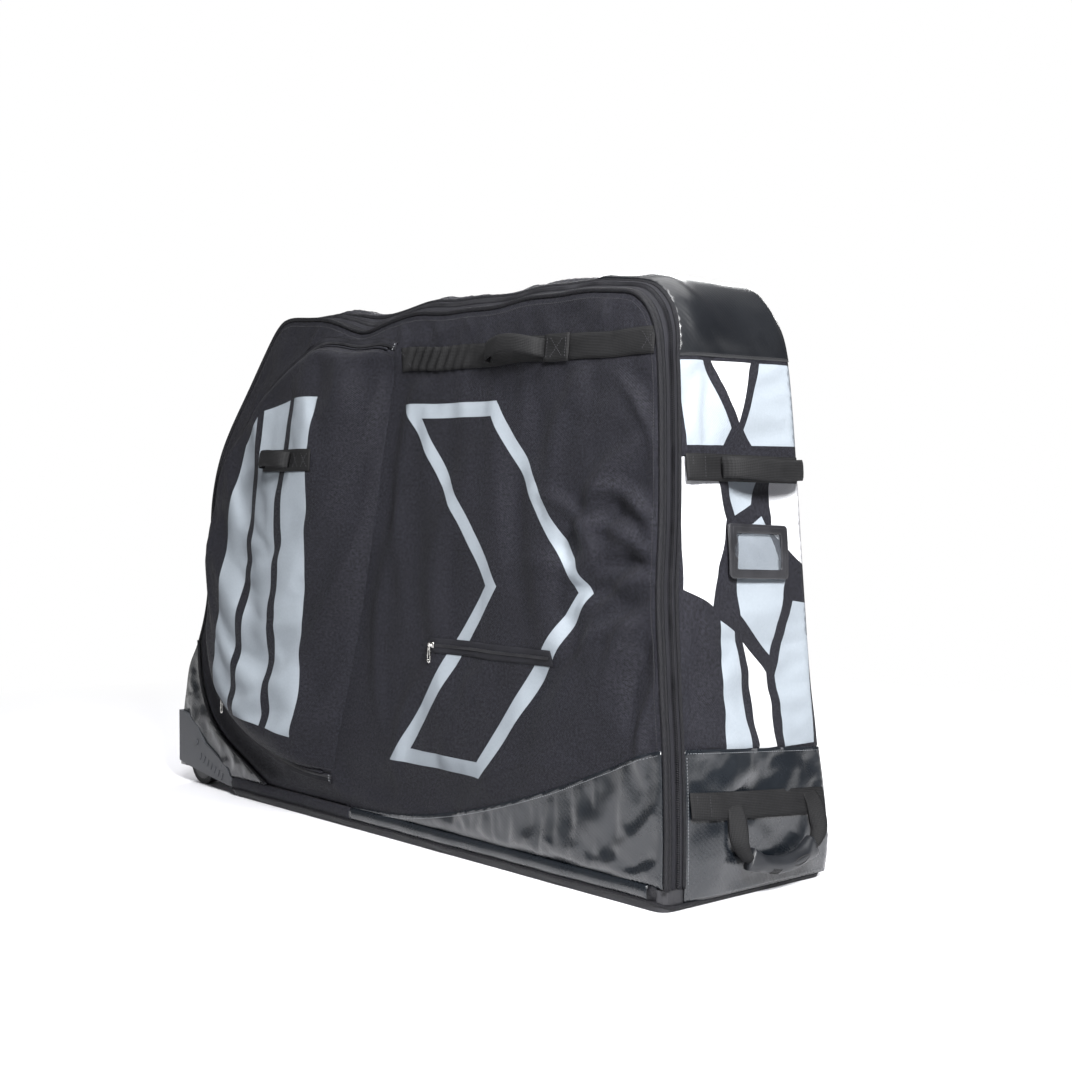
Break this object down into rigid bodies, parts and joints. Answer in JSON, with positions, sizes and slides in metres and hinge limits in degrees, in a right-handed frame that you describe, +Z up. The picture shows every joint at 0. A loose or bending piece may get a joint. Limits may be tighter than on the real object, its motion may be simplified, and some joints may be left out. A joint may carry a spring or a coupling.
{
  "type": "soft bike travel bag",
  "caption": "Padded soft travel bag for a bicycle with a zipped side door, outer wheel pocket, stiff wheeled base, carry loops and a hanging end grip.",
  "frame": {"origin": "on the floor plane, on the base tray's underside, midway between its sides", "axes": "+X along the bag towards the tall end, +Y across it away from the door, +Z up"},
  "size_m": [1.3556, 0.3839, 0.8704],
  "materials": {
    "axle_steel": "turned steel",
    "base_board": "stiff sheet",
    "base_plastic": "moulded",
    "coated_cloth": "glossy coated cloth",
    "floor_foam": "cloth faced foam",
    "grip_rubber": "moulded rubber",
    "guard_plastic": "moulded, fine grain",
    "hub_plastic": "moulded",
    "piping": "bound piping",
    "slider_metal": "silver plated",
    "tag_plastic": "moulded",
    "tag_window": "clear sheet",
    "tyre_rubber": "moulded rubber",
    "webbing": "ribbed webbing",
    "woven_cloth": "woven black polyester",
    "zip_tape": "woven tape",
    "zip_teeth": "moulded coil teeth"
  },
  "bodies": {
    "shell": {"base_tray": "base_plastic", "base_board": "base_board", "floor_pad": "floor_foam", "tie_strap_rear": "webbing", "tie_strap_front": "webbing", "end_kick_panel": "coated_cloth", "end_panel": "woven_cloth", "top_cap": "coated_cloth", "top_gusset": "woven_cloth", "nose_gusset": "woven_cloth", "wheel_end_panel": "coated_cloth", "wheel_end_floor": "base_plastic", "side_panel_far": "woven_cloth", "piping_far": "piping", "carry_strap_far": "webbing", "carry_loop_far": "webbing", "main_zip_tape_root": "zip_tape", "main_zip_teeth_root": "zip_teeth", "wheel_corner_patch_near": "coated_cloth", "wheel_corner_patch_far": "coated_cloth", "corner_guard_near": "guard_plastic", "axle_near": "axle_steel", "corner_guard_far": "guard_plastic", "axle_far": "axle_steel", "end_strap_mid": "webbing", "end_strap_low": "webbing", "end_loop_mid": "webbing", "tag_frame": "tag_plastic", "tag_window": "tag_window"},
    "door": {"door_panel": "woven_cloth", "door_piping": "piping", "main_zip_tape_door": "zip_tape", "main_zip_teeth_door": "zip_teeth", "door_kick_patch": "coated_cloth", "carry_strap": "webbing", "carry_loop": "webbing", "carry_keeper": "webbing", "slit_zip": "zip_tape", "pocket_zip_tape": "zip_tape", "pocket_zip_chain": "zip_teeth"},
    "pocket_cover": {"pocket_cover": "woven_cloth", "pocket_strap": "webbing", "pocket_loop": "webbing"},
    "wheel_near": {"wheel_hub_near": "hub_plastic", "wheel_tyre_near": "tyre_rubber"},
    "wheel_far": {"wheel_hub_far": "hub_plastic", "wheel_tyre_far": "tyre_rubber"},
    "grip": {"grip_moulding": "grip_rubber", "grip_webbing_near": "webbing", "grip_webbing_far": "webbing"},
    "main_upper_slider": {"main_upper_slider": "slider_metal"},
    "main_upper_pull": {"main_upper_pull": "slider_metal"},
    "main_lower_slider": {"main_lower_slider": "slider_metal"},
    "main_lower_pull": {"main_lower_pull": "slider_metal"},
    "slit_slider": {"slit_slider": "slider_metal"},
    "slit_pull": {"slit_pull": "slider_metal"},
    "pocket_upper_slider": {"pocket_upper_slider": "slider_metal"},
    "pocket_upper_pull": {"pocket_upper_pull": "slider_metal"},
    "pocket_lower_slider": {"pocket_lower_slider": "slider_metal"},
    "pocket_lower_pull": {"pocket_lower_pull": "slider_metal"}
  },
  "joints": [
    {"name": "door_hinge", "type": "hinge", "parent": "shell", "child": "door", "pos_m": [0, -0.1666, 0.03], "axis": [1, 0, 0], "range_deg": [0, 80]},
    {"name": "pocket_hinge", "type": "hinge", "parent": "door", "child": "pocket_cover", "pos_m": [-0.11505, -0.16402, 0.08501], "axis": [0.1893, 0.0459, 0.9809], "range_deg": [0, 85]},
    {"name": "wheel_near_spin", "type": "hinge", "parent": "shell", "child": "wheel_near", "pos_m": [-0.5999, -0.138, 0.042], "axis": [0, 1, 0], "continuous": true},
    {"name": "wheel_far_spin", "type": "hinge", "parent": "shell", "child": "wheel_far", "pos_m": [-0.5999, 0.138, 0.042], "axis": [0, 1, 0], "continuous": true},
    {"name": "grip_swing", "type": "hinge", "parent": "shell", "child": "grip", "pos_m": [0.65316, 0, 0.137], "axis": [0, -1, 0], "range_deg": [0, 130]},
    {"name": "main_upper_slide", "type": "slide", "parent": "shell", "child": "main_upper_slider", "axis": [0.6467, 0.0356, 0.7619], "range_m": [0, 0.03]},
    {"name": "main_upper_pull_lift", "type": "hinge", "parent": "main_upper_slider", "child": "main_upper_pull", "pos_m": [-0.40569, -0.09923, 0.80476], "axis": [0, 0.9989, -0.0467], "range_deg": [0, 150]},
    {"name": "main_lower_slide", "type": "slide", "parent": "shell", "child": "main_lower_slider", "axis": [-0.638, -0.036, -0.7692], "range_m": [0, 0.04]},
    {"name": "main_lower_pull_lift", "type": "hinge", "parent": "main_lower_slider", "child": "main_lower_pull", "pos_m": [-0.43813, -0.10104, 0.76596], "axis": [0, 0.9989, -0.0467], "range_deg": [0, 150]},
    {"name": "slit_slide", "type": "slide", "parent": "door", "child": "slit_slider", "axis": [1, 0, 0], "range_m": [0, 0.25]},
    {"name": "slit_pull_swing", "type": "hinge", "parent": "slit_slider", "child": "slit_pull", "pos_m": [0.14298, -0.16023, 0.32236], "axis": [0, -0.9989, 0.0467], "range_deg": [-80, 80]},
    {"name": "pocket_upper_slide", "type": "slide", "parent": "door", "child": "pocket_upper_slider", "axis": [-0.2316, 0.0454, 0.9718], "range_m": [0, 0.06]},
    {"name": "pocket_upper_pull_swing", "type": "hinge", "parent": "pocket_upper_slider", "child": "pocket_upper_pull", "pos_m": [-0.52702, -0.16345, 0.29427], "axis": [0, -0.9989, 0.0467], "range_deg": [-90, 0]},
    {"name": "pocket_lower_slide", "type": "slide", "parent": "door", "child": "pocket_lower_slider", "axis": [0.5375, -0.0394, -0.8423], "range_m": [0, 0.06]},
    {"name": "pocket_lower_pull_swing", "type": "hinge", "parent": "pocket_lower_slider", "child": "pocket_lower_pull", "pos_m": [-0.48113, -0.16821, 0.1925], "axis": [0, -0.9989, 0.0467], "range_deg": [-90, 0]}
  ]
}
